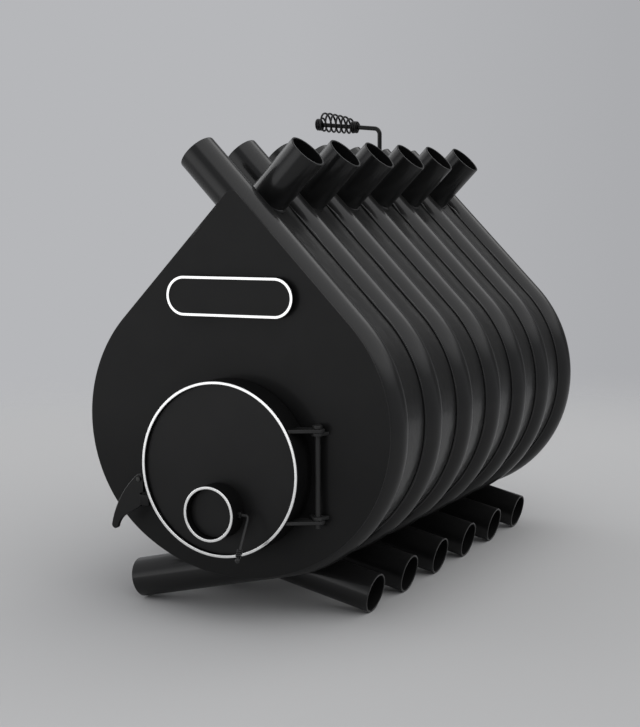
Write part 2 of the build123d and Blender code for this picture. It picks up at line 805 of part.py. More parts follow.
stop_radius = coil_end_radius - coil_wire / 2 - seat_gap
outer_stop = handle_length - stop_length - edge_round
with BuildPart() as flue_handle_stops:
    for start in (stop_start, outer_stop):
        with BuildSketch(Plane(origin=grip_plane.from_local_coords((start, 0, 0)),
                               z_dir=grip_plane.x_dir)):
            Circle(stop_radius)
            Circle(rod_radius + seat_gap, mode=Mode.SUBTRACT)
        extrude(amount=stop_length)
    fillet(flue_handle_stops.edges().filter_by(GeomType.CIRCLE)
           .filter_by(lambda edge: edge.radius > stop_radius - seat_gap), edge_round)
save(flue_handle_stops.part, "flue_handle_stops")

print("bend centre height", round(bend_height, 2), "upper mouth reach", round(mouth_reach, 2))
print("top of the tubes", round(mouth_height + tube_radius * cos(slope), 1))
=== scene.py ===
import json

import bmesh
import bpy
import numpy as np
from mathutils import Matrix, Vector
from mathutils.geometry import convex_hull_2d


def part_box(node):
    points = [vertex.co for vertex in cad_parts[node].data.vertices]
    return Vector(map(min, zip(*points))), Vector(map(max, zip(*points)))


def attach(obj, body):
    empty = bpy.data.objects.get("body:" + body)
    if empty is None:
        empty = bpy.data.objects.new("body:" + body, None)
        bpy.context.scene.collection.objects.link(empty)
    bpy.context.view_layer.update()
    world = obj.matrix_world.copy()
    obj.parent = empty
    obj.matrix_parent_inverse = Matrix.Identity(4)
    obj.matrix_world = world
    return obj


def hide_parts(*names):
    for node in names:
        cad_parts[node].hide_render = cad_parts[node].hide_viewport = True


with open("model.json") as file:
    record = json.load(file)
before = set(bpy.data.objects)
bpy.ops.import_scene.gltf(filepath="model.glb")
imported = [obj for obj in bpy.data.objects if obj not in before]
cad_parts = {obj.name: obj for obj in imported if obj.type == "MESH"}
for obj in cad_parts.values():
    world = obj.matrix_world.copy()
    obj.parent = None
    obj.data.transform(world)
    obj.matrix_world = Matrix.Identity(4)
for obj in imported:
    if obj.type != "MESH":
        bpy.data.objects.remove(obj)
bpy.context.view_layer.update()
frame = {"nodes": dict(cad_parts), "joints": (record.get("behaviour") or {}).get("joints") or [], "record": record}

scene = bpy.context.scene
mm = 0.001
noise = np.random.default_rng(7)
slotOf = {part["node"]: part["material_slot"] for part in frame["record"]["subparts"]}
jointAt = {joint["name"]: joint["pos_m"] for joint in frame["joints"]}
print("stage: frame loaded,", len(frame["nodes"]), "nodes")

# The stove's shape, as in the CAD: x to the right seen from the door, y from the door back, z up.
stove = {
    "tubeRadius": 38 * mm,
    "tubeWall": 3.5 * mm,
    "tubeStep": 81.5 * mm,      # from a right tube back to the next left tube
    "bendRadius": 252 * mm,
    "bendOffset": 40.5 * mm,    # bend centre out from the mid-plane
    "roofSlope": np.radians(46),
    "legSlope": np.radians(13),
    "flankEnd": np.radians(56), # below the horizontal, where the flank passes into the keel
    "mouthHeight": 862 * mm,
    "footReach": 232.5 * mm,
    "wallOffset": 19 * mm,      # outer face of the wall strips outside the tube centrelines
    "wallThickness": 3 * mm,
    "plateOffset": 23.5 * mm,   # edge of the end plates outside the tube centrelines
    "seatGap": 0.3 * mm,
}


# Small tools for colours and nodes

def linear(hexColour):
    # sRGB hex to linear RGBA
    channels = [int(hexColour[i:i + 2], 16) / 255 for i in (1, 3, 5)]
    return [c / 12.92 if c <= 0.04045 else ((c + 0.055) / 1.055) ** 2.4 for c in channels] + [1.0]


def addNode(tree, kind, settings=None, links=None):
    # settings are attributes or socket values, links are input name -> output socket
    node = tree.nodes.new(kind)
    for key, value in (settings or {}).items():
        if isinstance(key, str) and hasattr(node, key):
            setattr(node, key, value)
        else:
            node.inputs[key].default_value = value
    for key, socket in (links or {}).items():
        tree.links.new(socket, node.inputs[key])
    return node


def texture(tree, place, size, detail):
    # soft noise with lumps of this size
    return addNode(tree, "ShaderNodeTexNoise", {"Scale": 1 / size, "Detail": detail},
                   {"Vector": place}).outputs["Fac"]


def blend(tree, share, first, second):
    # a mix of two colours, each of them a hex or a socket
    settings, links = {"data_type": "RGBA"}, {0: share}
    for key, colour in ((6, first), (7, second)):
        if isinstance(colour, str):
            settings[key] = linear(colour)
        else:
            links[key] = colour
    return addNode(tree, "ShaderNodeMix", settings, links).outputs[2]


def ramp(tree, value, span, target=(0.0, 1.0), kind="LINEAR"):
    return addNode(tree, "ShaderNodeMapRange",
                   {"From Min": span[0], "From Max": span[1], "To Min": target[0],
                    "To Max": target[1], "interpolation_type": kind}, {"Value": value}).outputs[0]


def bump(tree, strength, distance, height, below=None):
    links = {"Height": height} if below is None else {"Height": height, "Normal": below}
    return addNode(tree, "ShaderNodeBump", {"Strength": strength, "Distance": distance},
                   links).outputs[0]


# Small tools for meshes

def unit(vectors):
    return vectors / np.linalg.norm(vectors, axis=-1, keepdims=True)


def polar(angle):
    return np.stack([np.cos(angle), np.sin(angle)], -1)


def wholeTurn(count):
    return np.linspace(0, 2 * np.pi, count, endpoint=False)


def travelled(path):
    # how far along a path each of its points lies
    return np.concatenate([[0], np.cumsum(np.linalg.norm(np.diff(path, axis=0), axis=1))])


def sampled(path, run, at):
    # a path whose points lie at run, read at other distances
    return np.stack([np.interp(at, run, column) for column in path.T], -1)


def placed(side, flat, y):
    # (x, z) points drawn for the right side, set at y; side is -1 for the left
    return np.stack(np.broadcast_arrays(side * flat[..., 0], y, flat[..., 1]), -1)


def gridQuads(rows, cols, wrapRows, wrapCols):
    # corner numbers of every cell of a rows x cols grid, row direction first
    i, j = np.meshgrid(np.arange(rows if wrapRows else rows - 1),
                       np.arange(cols if wrapCols else cols - 1), indexing="ij")
    nextI, nextJ = (i + 1) % rows, (j + 1) % cols
    quads = [i * cols + j, nextI * cols + j, nextI * cols + nextJ, i * cols + nextJ]
    return np.stack(quads, -1).reshape(-1, 4)


def makePiece(name, grids, material, body, stands=(), slot=None, capped=False, closed=True,
              flip=False, wearAndHighlight=None):
    # grids: (points[rows, cols, 3], wrapRows, wrapCols); capped adds a flat face on the first
    # and on the last row
    mesh = bpy.data.meshes.new(name)
    points = np.concatenate([g[0].reshape(-1, 3) for g in grids])
    corners, sizes, start = [], [], 0
    for grid, wrapRows, wrapCols in grids:
        rows, cols = grid.shape[:2]
        quads = gridQuads(rows, cols, wrapRows, wrapCols) + start
        corners.append((quads[:, ::-1] if flip else quads).ravel())
        sizes.append(np.full(len(quads), 4))
        if capped:
            corners += [start + np.arange(cols)[::-1], start + (rows - 1) * cols + np.arange(cols)]
            sizes.append(np.full(2, cols))
        start += rows * cols
    corners, sizes = np.concatenate(corners), np.concatenate(sizes)
    starts = np.concatenate([[0], np.cumsum(sizes)[:-1]])
    mesh.vertices.add(len(points))
    mesh.vertices.foreach_set("co", points.astype(np.float32).ravel())
    mesh.loops.add(len(corners))
    mesh.loops.foreach_set("vertex_index", corners.astype(np.int32))
    mesh.polygons.add(len(sizes))
    mesh.polygons.foreach_set("loop_start", starts.astype(np.int32))
    mesh.update(calc_edges=True)
    # strength of wear on the tube lips, and of painted edge highlights on the plates and the lever
    if wearAndHighlight is not None:
        attribute = mesh.attributes.new("wearAndHighlight", "FLOAT", "POINT")
        attribute.data.foreach_set("value", wearAndHighlight.astype(np.float32).ravel())
    tidy = bmesh.new()
    tidy.from_mesh(mesh)
    bmesh.ops.remove_doubles(tidy, verts=tidy.verts, dist=2e-7)
    if closed:
        bmesh.ops.recalc_face_normals(tidy, faces=tidy.faces)
        if tidy.calc_volume(signed=True) < 0:
            bmesh.ops.reverse_faces(tidy, faces=tidy.faces)
    tidy.to_mesh(mesh)
    tidy.free()
    mesh.polygons.foreach_set("use_smooth", np.ones(len(mesh.polygons), dtype=bool))
    mesh.materials.append(material)
    piece = bpy.data.objects.new(name, mesh)
    scene.collection.objects.link(piece)
    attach(piece, body)
    if stands:
        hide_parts(*stands)
        slot = slot or slotOf[stands[0]]
    return piece


def softened(corners, radius, closed=True, steps=5, support=0.5 * mm):
    # a polygon or path whose corners are arcs; a point on each side of an arc keeps the flats
    # flat in shading
    corners = np.asarray(corners, float)
    count = len(corners)
    radii = np.broadcast_to(np.asarray(radius, float), (count,))
    made = []
    for k, here in enumerate(corners):
        if not closed and k in (0, count - 1):
            made.append(here[None])
            continue
        back, ahead = unit(corners[k - 1] - here), unit(corners[(k + 1) % count] - here)
        half = np.arccos(np.clip(back @ ahead, -1, 1)) / 2
        reach = radii[k] / np.tan(half)
        middle = here + unit(back + ahead) * radii[k] / np.sin(half)
        first, last = here + back * reach - middle, here + ahead * reach - middle
        turn = np.pi - 2 * half
        share = np.linspace(0, 1, steps + 1)[:, None]
        arc = np.sin((1 - share) * turn) * first + np.sin(share * turn) * last
        made += [(here + back * (reach + support))[None], middle + arc / np.sin(turn),
                 (here + ahead * (reach + support))[None]]
    return np.concatenate(made)


def turned(profile, origin, axis, side, segments):
    # a profile of (along, radius) points turned about an axis
    axis, side = unit(np.array(axis, float)), unit(np.array(side, float))
    angle = wholeTurn(segments)[:, None]
    ring = np.cos(angle) * side + np.sin(angle) * np.cross(axis, side)
    return np.array(origin) + profile[:, 0, None, None] * axis + profile[:, 1, None, None] * ring


def axle(x, z, segments):
    # what turned() needs for an axis along y
    return {"origin": (x, 0, z), "axis": (0, 1, 0), "side": (1, 0, 0), "segments": segments}


def hoop(inner, outer, low, high, edge=0.6 * mm):
    # rounded rectangular section of a ring, as a profile for turned()
    return softened([(low, inner), (low, outer), (high, outer), (high, inner)], edge)


def rod(radius, low, high, edge=0.6 * mm):
    # half section of a solid round bar, from pole to pole
    return softened([(low, 0), (low, radius), (high, radius), (high, 0)], edge, closed=False)


def wire(path, hint, radius, sides):
    # a circle carried along a path; hint is a vector that never lies along it
    along = unit(np.gradient(path, axis=0))
    across = unit(np.cross(along, np.broadcast_to(hint, path.shape)))
    up = np.cross(across, along)
    angle = wholeTurn(sides)[None, :, None]
    ring = np.cos(angle) * up[:, None] + np.sin(angle) * across[:, None]
    return path[:, None] + radius[:, None, None] * ring


domeSteps = 5


def rounded(path, radius, flatness=1.0):
    # the path and its radius with a dome added at both ends, for wire()
    angle = np.linspace(0, np.pi / 2, domeSteps + 1)[:-1]
    first, last = unit(path[0] - path[1]), unit(path[-1] - path[-2])
    dome = np.cos(angle)[:, None] * radius * flatness
    cap = np.sin(angle) * radius
    longer = np.concatenate([path[0] + first * dome, path, (path[-1] + last * dome)[::-1]])
    return longer, np.concatenate([cap, np.full(len(path), radius), cap[::-1]])


def outwards(outline):
    # unit normals of a closed outline that runs counter-clockwise
    step = np.roll(outline, -1, 0) - np.roll(outline, 1, 0)
    return unit(np.stack([step[:, 1], -step[:, 0]], -1))


def edgeSteps(low, high, edge):
    # (inset, level) pairs of a slab's edge from its first face over the side to its second;
    # the first two and the last two lie on the faces and keep them flat in shading
    angle = np.linspace(0, np.pi / 2, 5)
    early, late = edge * (1 - np.sin(angle)), edge * (1 - np.cos(angle))
    inset = np.concatenate([[1.6 * edge, 1.25 * edge], early, late, [1.25 * edge, 1.6 * edge]])
    level = np.concatenate([[low, low], low + late, high - early, [high, high]])
    return inset, level


def edgeHighlightBand(edge):
    # 1 on the side of a slab, falling to 0 on its faces; it places painted edge highlights
    return np.clip(1 - edgeSteps(0, 0, edge)[0] / edge, 0, 1)


def slab(outline, low, high, edge=0.8 * mm, hole=None):
    # rows of (a, b, level) for an outline with rounded edges between two levels. A hole is an
    # outline with as many points; both run counter-clockwise
    inset, level = edgeSteps(low, high, edge)
    flat = outline - outwards(outline) * inset[:, None, None]
    if hole is not None:
        flat = np.concatenate([flat, (hole + outwards(hole) * inset[:, None, None])[::-1]])
        level = np.concatenate([level, level[::-1]])
    return np.concatenate([flat, np.broadcast_to(level[:, None, None], flat.shape[:2] + (1,))], -1)


def standing(rows):
    # (a, b, level) to x, z, y: an outline drawn upright
    return rows[..., [0, 2, 1]]


def circle(centre, radius, count, start=0.0):
    return np.array(centre) + radius * polar(start + wholeTurn(count))


def arcThrough(a, b, c, count):
    # points of the arc that passes three points
    centre = np.linalg.solve(2 * np.array([b - a, c - a]), np.array([b @ b - a @ a, c @ c - a @ a]))
    angles = [np.arctan2(*(p - centre)[::-1]) for p in (a, b, c)]
    whole = (angles[2] - angles[0]) % (2 * np.pi)
    if (angles[1] - angles[0]) % (2 * np.pi) > whole:
        whole -= 2 * np.pi
    return centre + np.linalg.norm(a - centre) * polar(angles[0] + np.linspace(0, 1, count) * whole)


# Pieces of one kind, as thick in y as the node that they stand for

def depths(node):
    # front and rear of a node in y
    low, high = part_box(node)
    return low[1], high[1]


def halfWidth(node):
    low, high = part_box(node)
    return (high[0] - low[0]) / 2


def uprightPiece(name, node, outline, edge, material, body, hole=None, wearAndHighlight=None):
    grid = standing(slab(outline, *depths(node), edge, hole))
    solid = hole is None
    makePiece(name, [(grid, not solid, True)], material, body, [node], capped=solid, wearAndHighlight=wearAndHighlight)


def ringPiece(name, node, inner, outer, edge, about, material, body):
    profile = hoop(inner, outer, *depths(node), edge)
    makePiece(name, [(turned(profile, **about), True, True)], material, body, [node])


def wirePiece(name, node, path, hint, radii, sides, material, body):
    makePiece(name, [(wire(path, hint, radii, sides), False, True)], material, body, [node])


def bushPair(name, node, middle, bore, outer, pipe, length, edge, segments, body,
             play=0.2 * mm, gap=0.05 * mm):
    # a bush at each side of a pipe along y, round a spindle along x
    profile = hoop(bore + play, outer, pipe + gap, pipe + length, edge)
    pair = [(turned(profile, middle, (side, 0, 0), (0, 0, 1), segments), True, True)
            for side in (1, -1)]
    makePiece(name, pair, black, body, [node])


# Shape of the tubes and of the shell

tubeRadius, bendRadius, bendOffset = stove["tubeRadius"], stove["bendRadius"], stove["bendOffset"]
roof, leg, flankEnd = stove["roofSlope"], stove["legSlope"], stove["flankEnd"]
roofDown = np.array([np.cos(roof), -np.sin(roof)])
roofNormal = np.array([np.sin(roof), np.cos(roof)])
legReach = stove["footReach"] + (bendOffset + bendRadius * np.sin(leg))
bendHeight = tubeRadius * np.cos(leg) + legReach * np.tan(leg) + bendRadius * np.cos(leg)
bendCentre = np.array([bendOffset, bendHeight])
legLength = legReach / np.cos(leg)
bendLength = bendRadius * (np.pi - roof - leg)
roofLength = (stove["mouthHeight"] - (bendHeight + bendRadius * np.cos(roof))) / np.sin(roof)
tubeLength = legLength + bendLength + roofLength
seatRadius = tubeRadius + stove["seatGap"]
rightY = np.arange(7) * 2 * stove["tubeStep"]
leftY = stove["tubeStep"] + np.arange(6) * 2 * stove["tubeStep"]


def tubeLine(along):
    # centreline of a right tube from its foot: leg, bend, roof run
    heading = leg + np.clip((along - legLength) / bendRadius, 0, np.pi - roof - leg)
    outward = np.stack([np.sin(heading), -np.cos(heading)], -1)
    beyond = np.minimum(along - legLength, 0) + np.maximum(along - legLength - bendLength, 0)
    return bendCentre + bendRadius * outward + beyond[..., None] * polar(heading), outward


def shellOutline(offset, counts, ridge=0.0):
    # right half of the shell from the ridge to the keel, this far outside the tube centrelines:
    # a straight roof, a flank about the bend centre and a keel about a point on the mid-plane.
    # counts are their points, ridge is the radius that blunts the top
    roofCount, flankCount, keelCount = counts
    flankRadius = bendRadius + offset
    shoulder = bendCentre + flankRadius * roofNormal
    top = shoulder[1] + shoulder[0] * np.tan(roof)
    parts = []
    if ridge:
        turn = np.linspace(np.pi / 2, np.pi / 2 - roof, 7)[:-1]
        parts.append([0, top - ridge / np.cos(roof)] + ridge * polar(turn))
    run = np.linspace(ridge * np.tan(roof), shoulder[0] / np.cos(roof), roofCount)[:-1]
    parts.append(np.array([0, top]) + run[:, None] * roofDown)
    turn = np.linspace(np.pi / 2 - roof, -flankEnd, flankCount)[:-1]
    parts.append(bendCentre + flankRadius * polar(turn))
    turn = np.linspace(-flankEnd, -np.pi / 2, keelCount)
    keelRadius = flankRadius + bendOffset / np.cos(flankEnd)
    parts.append([0, bendHeight + bendOffset * np.tan(flankEnd)] + keelRadius * polar(turn))
    return np.concatenate(parts)


# Materials

def newMaterial(name):
    # the material, its tree and the place on the object
    material = bpy.data.materials.new(name)
    material.use_nodes = True
    tree = material.node_tree
    tree.nodes.clear()
    return material, tree, addNode(tree, "ShaderNodeTexCoord").outputs["Object"]


def finishMaterial(tree, settings, links, kind="ShaderNodeBsdfPrincipled"):
    shader = addNode(tree, kind, settings, links)
    addNode(tree, "ShaderNodeOutputMaterial", links={"Surface": shader.outputs[0]})


def withWearAndHighlight(tree, colour, wearAndHighlightColour):
    # the second colour where the paint is thin from use, and where an edge highlight is painted
    wearAndHighlight = addNode(tree, "ShaderNodeAttribute", {"attribute_name": "wearAndHighlight"})
    return blend(tree, wearAndHighlight.outputs["Fac"], colour, wearAndHighlightColour)


paint = {
    "colour": "#0e0e0e",
    "patchColour": "#141414",
    # tube lips thin from use, and a painted highlight on the edges of the end plates
    "wearAndHighlightColour": "#2c2c2c",
    "hingePaintedLightColour": "#262626", # lighter colours for the hinge, here and in the next line: painted light, since the hinge would otherwise render darker
    "hingePaintedLightPatchColour": "#383838",
    "grain": 1.6 * mm,          # sprayed grain, drawn coarser than the real half millimetre
    "grainHeight": 0.05 * mm,
    "grainStrength": 0.35,
    "patch": 70 * mm,           # where the coat is thicker or thinner
    "patchRange": (0.35, 0.65),
    "roughness": (0.46, 0.54),
    "index": 1.2,               # low, because the matting agent roughens the skin
    "skin": 0.6,
    "skinRoughness": 0.16,
    "dent": 22 * mm,
}


def stovePaint(name, skin=paint["skin"], index=paint["index"], dents=0.0,
               colours=("colour", "patchColour")):
    # silicone stove paint sprayed over rolled steel: nearly black, a dull sheen with a fine
    # grain. dents is the height of the hollows in thin sheet
    material, tree, place = newMaterial(name)
    patch = texture(tree, place, paint["patch"], 3.0)
    grain = texture(tree, place, paint["grain"], 2.0)
    normal = bump(tree, paint["grainStrength"], paint["grainHeight"], grain)
    if dents:
        normal = bump(tree, 1.0, dents, texture(tree, place, paint["dent"], 1.0), normal)
    coat = blend(tree, patch, paint[colours[0]], paint[colours[1]])
    finishMaterial(tree, {"IOR": index, "Coat Weight": skin,
                          "Coat Roughness": paint["skinRoughness"]},
                   {"Base Color": withWearAndHighlight(tree, coat, paint["wearAndHighlightColour"]),
                    "Roughness": ramp(tree, patch, paint["patchRange"], paint["roughness"]),
                    "Normal": normal, "Coat Normal": normal})
    return material


# the second colour is a lighter copy of the first: painted light on the hinge pin and on the throttle's rod and
# coil. The third colour is a painted highlight on the latch lever's edges
blackened = {"colour": "#0a0a0a", "paintedLightColour": "#2b2b2b", "wearAndHighlightColour": "#5c5c5c",
             "roughness": 0.36, "index": 1.34, "streak": 3 * mm, "bump": (0.3, 0.05 * mm)}


def blackenedSteel(name, colour):
    # forged steel with black oxide: smoother than the paint, with a soft sheen
    material, tree, place = newMaterial(name)
    streak = texture(tree, place, blackened["streak"], 3.0)
    finishMaterial(tree, {"IOR": blackened["index"], "Roughness": blackened["roughness"]},
                   {"Base Color": withWearAndHighlight(tree, colour, blackened["wearAndHighlightColour"]),
                    "Normal": bump(tree, *blackened["bump"], streak)})
    return material


def bareMetal(tree, finish, height):
    finishMaterial(tree, {"Base Color": linear(finish["colour"]), "Metallic": 1.0,
                          "Roughness": finish["roughness"]},
                   {"Normal": bump(tree, *finish["bump"], height)})


polished = {"colour": "#fbfbfa", "roughness": 0.22, "lathePitch": 0.8 * mm,
            "bump": (0.15, 0.02 * mm)}


def polishedSteel(name, centreHeight):
    # steel edge turned bright: fine rings round a centre at this height
    material, tree, place = newMaterial(name)
    centred = addNode(tree, "ShaderNodeMapping",
                      {"Location": (0, 0, -centreHeight), "Scale": (1, 0, 1)}, {"Vector": place})
    radius = addNode(tree, "ShaderNodeVectorMath", {"operation": "LENGTH"},
                     {0: centred.outputs[0]})
    rings = addNode(tree, "ShaderNodeTexNoise",
                    {"noise_dimensions": "1D", "Scale": 1 / polished["lathePitch"], "Detail": 2.0},
                    {"W": radius.outputs["Value"]})
    bareMetal(tree, polished, rings.outputs["Fac"])
    return material


bare = {"colour": "#4c4c4b", "roughness": 0.5, "scratch": 0.7 * mm, "bump": (0.2, 0.03 * mm)}


def bareSteel():
    # turned steel left bare, dull from handling
    material, tree, place = newMaterial("bareSteel")
    bareMetal(tree, bare, texture(tree, place, bare["scratch"], 2.0))
    return material


scaled = {"colour": "#2b2724", "rust": "#3b2c22", "roughness": 0.75, "patch": 25 * mm,
          "bump": (0.4, 0.3 * mm)}


def scaledSteel():
    # hot-rolled steel in the fire: brown scale in patches
    material, tree, place = newMaterial("scaledSteel")
    patch = texture(tree, place, scaled["patch"], 5.0)
    finishMaterial(tree, {"Roughness": scaled["roughness"]},
                   {"Base Color": blend(tree, patch, scaled["colour"], scaled["rust"]),
                    "Normal": bump(tree, *scaled["bump"], patch)})
    return material


rope = {"colour": "#5d5a55", "soot": "#2c2a28", "dust": 25 * mm, "yarn": 2.2 * mm,
        "roughness": 0.95, "bump": (0.6, 0.5 * mm)}


def gasketRope():
    # knitted glass-fibre rope, dusted with soot
    material, tree, place = newMaterial("gasketRope")
    yarn = addNode(tree, "ShaderNodeTexVoronoi", {"Scale": 1 / rope["yarn"]}, {"Vector": place})
    dust = texture(tree, place, rope["dust"], 3.0)
    finishMaterial(tree, {"Roughness": rope["roughness"]},
                   {"Base Color": blend(tree, dust, rope["colour"], rope["soot"]),
                    "Normal": bump(tree, *rope["bump"], yarn.outputs["Distance"])})
    return material


black = stovePaint("stovePaint")
sheetBlack = stovePaint("stovePaintOnSheet", dents=0.6 * mm)
flatBlack = stovePaint("stovePaintOnPlate", skin=0.08, index=1.26)
discBlack = stovePaint("stovePaintOnDisc", skin=0.08, index=1.31)
# the same paint made darker for the door's band and the inlet's collar: painted shade
paintedShadeBlack = stovePaint("stovePaintDarkenedAsShade", skin=0.06, index=1.16)
# the hinge's paint in lighter colours: painted light
hingePaintedLight = stovePaint("stovePaintPaintedLighterOnHinge", skin=0.2, colours=("hingePaintedLightColour", "hingePaintedLightPatchColour"))
forged = blackenedSteel("blackenedSteel", blackened["colour"])
# a lighter copy of the oxide: painted light on the hinge pin and on the throttle's rod and coil
paintedLightBlackened = blackenedSteel("blackenedSteelPaintedLighter", blackened["paintedLightColour"])
steel = bareSteel()
scale = scaledSteel()
fibre = gasketRope()
print("stage: materials made")


# Convection tubes

tube = {"lip": 1.1 * mm, "lipWear": 0.55, "lipFlat": 1.5 * mm, "sides": 64, "bendSteps": 96,
        "straightSteps": 5, "firstStep": 0.2}


def tubeGrid(side, y):
    # a closed loop (along, radius) round the wall, carried round the centreline:
    # point = centre(along) + radius * (cos a * outward + sin a * Y)
    outer, inner, lip = tubeRadius, tubeRadius - stove["tubeWall"], tube["lip"]
    turn = np.linspace(0, np.pi / 2, 5)
    rise, fall = lip * np.sin(turn), lip * np.cos(turn)
    steps, bendEnd = tube["straightSteps"], legLength + bendLength
    run = np.concatenate([
        [lip + tube["lipFlat"]], np.linspace(legLength * tube["firstStep"], legLength, steps),
        np.linspace(legLength, bendEnd, tube["bendSteps"])[1:],
        np.linspace(bendEnd, tubeLength - roofLength * tube["firstStep"], steps)[1:],
        [tubeLength - lip - tube["lipFlat"]]])
    along = np.concatenate([lip - rise[::-1], run, tubeLength - lip + rise,
                            tubeLength - lip + fall, run[::-1], lip - fall[::-1]])
    radius = np.concatenate([outer - lip + fall[::-1], np.full(len(run), outer),
                             outer - lip + fall, inner + lip - rise,
                             np.full(len(run), inner), inner + lip - rise[::-1]])
    centre, outward = tubeLine(along)
    angle = wholeTurn(tube["sides"])
    flat = centre[:, None] + (radius[:, None] * np.cos(angle))[..., None] * outward[:, None]
    grid = placed(side, flat, y + radius[:, None] * np.sin(angle))
    nearEnd = np.minimum(along, tubeLength - along)
    lipWorn = tube["lipWear"] * np.clip(1 - nearEnd / lip, 0, 1)
    return grid, np.broadcast_to(lipWorn[:, None], grid.shape[:2])


for side, label, rows in ((1, "right", rightY), (-1, "left", leftY)):
    for i, y in enumerate(rows):
        grid, lipWorn = tubeGrid(side, y)
        makePiece(f"{label}Tube{i + 1}", [(grid, True, True)], black, "stove",
                  [f"{label}_tube_{i + 1}"], wearAndHighlight=lipWorn)
print("stage: tubes made")


# Wall strips between the tubes, each cut round the tube that crosses it

bead = {"radius": 2.8 * mm, "ripple": 3.8 * mm, "rippleHeight": 0.14, "unevenness": 0.25,
        "ridgeLumps": 1.3, "ridgeReach": 150 * mm, "lumpStep": 24 * mm, "least": 0.4,
        "step": 1.25 * mm, "sides": 6}


def beadGrid(points, outward):
    # a welded bead: a thin wire whose radius rises and falls once a ripple, and slowly besides,
    # most of all near the ridge, where the path starts
    run = travelled(points)
    at = np.arange(0, run[-1], bead["step"])
    stations = np.arange(0, run[-1] + bead["lumpStep"], bead["lumpStep"])
    slow = np.interp(at, stations, noise.uniform(-1, 1, len(stations)))
    lumps = bead["unevenness"] + bead["ridgeLumps"] * np.exp(-at / bead["ridgeReach"])
    ripple = bead["rippleHeight"] * np.cos(2 * np.pi * at / bead["ripple"])
    radius = bead["radius"] * np.maximum(bead["least"], 1 + ripple + lumps * slow)
    taper = np.sqrt(np.clip(np.minimum(at, at[-1] - at) / (2 * bead["radius"]), 0, 1))
    grid = wire(sampled(points, run, at), unit(sampled(outward, run, at)), radius * taper,
                bead["sides"])
    return grid, False, True


strip = {"counts": (170, 90, 110), "columns": 6, "beadLift": 0.4 * mm,
         "ringTurn": np.radians(116), "ringSteps": 90}
outerLine = shellOutline(stove["wallOffset"], strip["counts"])
outerNormal = unit(np.stack([-np.gradient(outerLine[:, 1]), np.gradient(outerLine[:, 0])], -1))
lineSamples = tubeLine(np.linspace(-0.05, tubeLength + 0.05, 1600))[0]


def halfChord(side):
    # how far a tube reaches to each side of its centre plane where it passes the outline; side
    # is 1 for a tube of the strip's own side and -1 for one that crosses
    apart = outerLine[:, None] - lineSamples * [side, 1]
    nearest = np.min(np.linalg.norm(apart, axis=-1), axis=1)
    return np.sqrt(np.maximum(seatRadius ** 2 - nearest ** 2, 0))


ownChord, crossChord = halfChord(1), halfChord(-1)


def makeStrip(label, number, side, first, middle, last, firstIsTube=True, lastIsTube=True):
    # rows follow the outline from ridge to keel; columns run in y from the first neighbour to
    # the crossing tube, and from that to the last neighbour
    low, high = first + ownChord * firstIsTube, last - ownChord * lastIsTube
    grids = []
    for start, end in ((low, middle - crossChord), (middle + crossChord, high)):
        y = start[:, None] + (end - start)[:, None] * np.linspace(0, 1, strip["columns"])
        grids.append((placed(side, outerLine[:, None], y), False, False))
    sheet = makePiece(f"{label}Wall{number}", grids, sheetBlack, "stove",
                      [f"{label}_wall_{number}"], closed=False, flip=side < 0)
    shell = sheet.modifiers.new("sheet", "SOLIDIFY")
    shell.thickness, shell.offset, shell.use_rim = stove["wallThickness"], -1, True
    hint = placed(side, outerNormal, 0)
    beads = [beadGrid(placed(side, outerLine, y) + hint * strip["beadLift"], hint)
             for y in (low, high)]
    # ring bead round the crossing tube, on the roof from one side of the ridge to the other
    turn = np.linspace(-1, 1, strip["ringSteps"]) * strip["ringTurn"]
    flat = (outerLine[0] + roofDown * stove["wallOffset"]
            + (seatRadius * np.cos(turn))[:, None] * roofDown)
    ring = placed(side, flat, middle + seatRadius * np.sin(turn))
    beads.append(beadGrid(ring, np.broadcast_to(placed(side, roofNormal, 0), ring.shape)))
    makePiece(f"{label}Weld{number}", beads, black, "stove", slot="black_paint")


for i in range(6):
    makeStrip("right", i + 1, 1, rightY[i], leftY[i], rightY[i + 1])
edges = [-seatRadius, *leftY, rightY[-1] + seatRadius]
for i in range(7):
    makeStrip("left", i + 1, -1, edges[i], rightY[i], edges[i + 1], i > 0, i < 6)
print("stage: wall strips and welds made")


# End plates

# with the strength of a painted highlight along the plates' outer edges
plate = {"counts": (40, 100, 60), "edge": 0.9 * mm, "paintedEdgeHighlight": 0.6, "ridge": 14 * mm,
         "doorHole": 145 * mm, "doorHeight": 284 * mm, "flueHole": 72 * mm, "flueHeight": 600 * mm}
halfRim = shellOutline(stove["plateOffset"], plate["counts"], plate["ridge"])
plateRim = np.concatenate([halfRim * [-1, 1], halfRim[::-1][1:-1]])


def endPlate(name, node, holeRadius, holeHeight):
    bearing = np.arctan2(plateRim[:, 1] - holeHeight, plateRim[:, 0])
    # a painted highlight round the plate's outer edges, as though they caught the light
    paintedEdgeHighlight = plate["paintedEdgeHighlight"] * edgeHighlightBand(plate["edge"])
    paintedEdgeHighlight = np.concatenate([paintedEdgeHighlight, 0 * paintedEdgeHighlight])[:, None]
    uprightPiece(name, node, plateRim, plate["edge"], flatBlack, "stove",
                 [0, holeHeight] + holeRadius * polar(bearing),
                 np.broadcast_to(paintedEdgeHighlight, (len(paintedEdgeHighlight), len(plateRim))))


endPlate("frontPlate", "front_plate", plate["doorHole"], plate["doorHeight"])
endPlate("rearPlate", "rear_plate", plate["flueHole"], plate["flueHeight"])
print("stage: plates made")


# Door neck, drum, rim, disc and gasket, all turned about the door's own axis

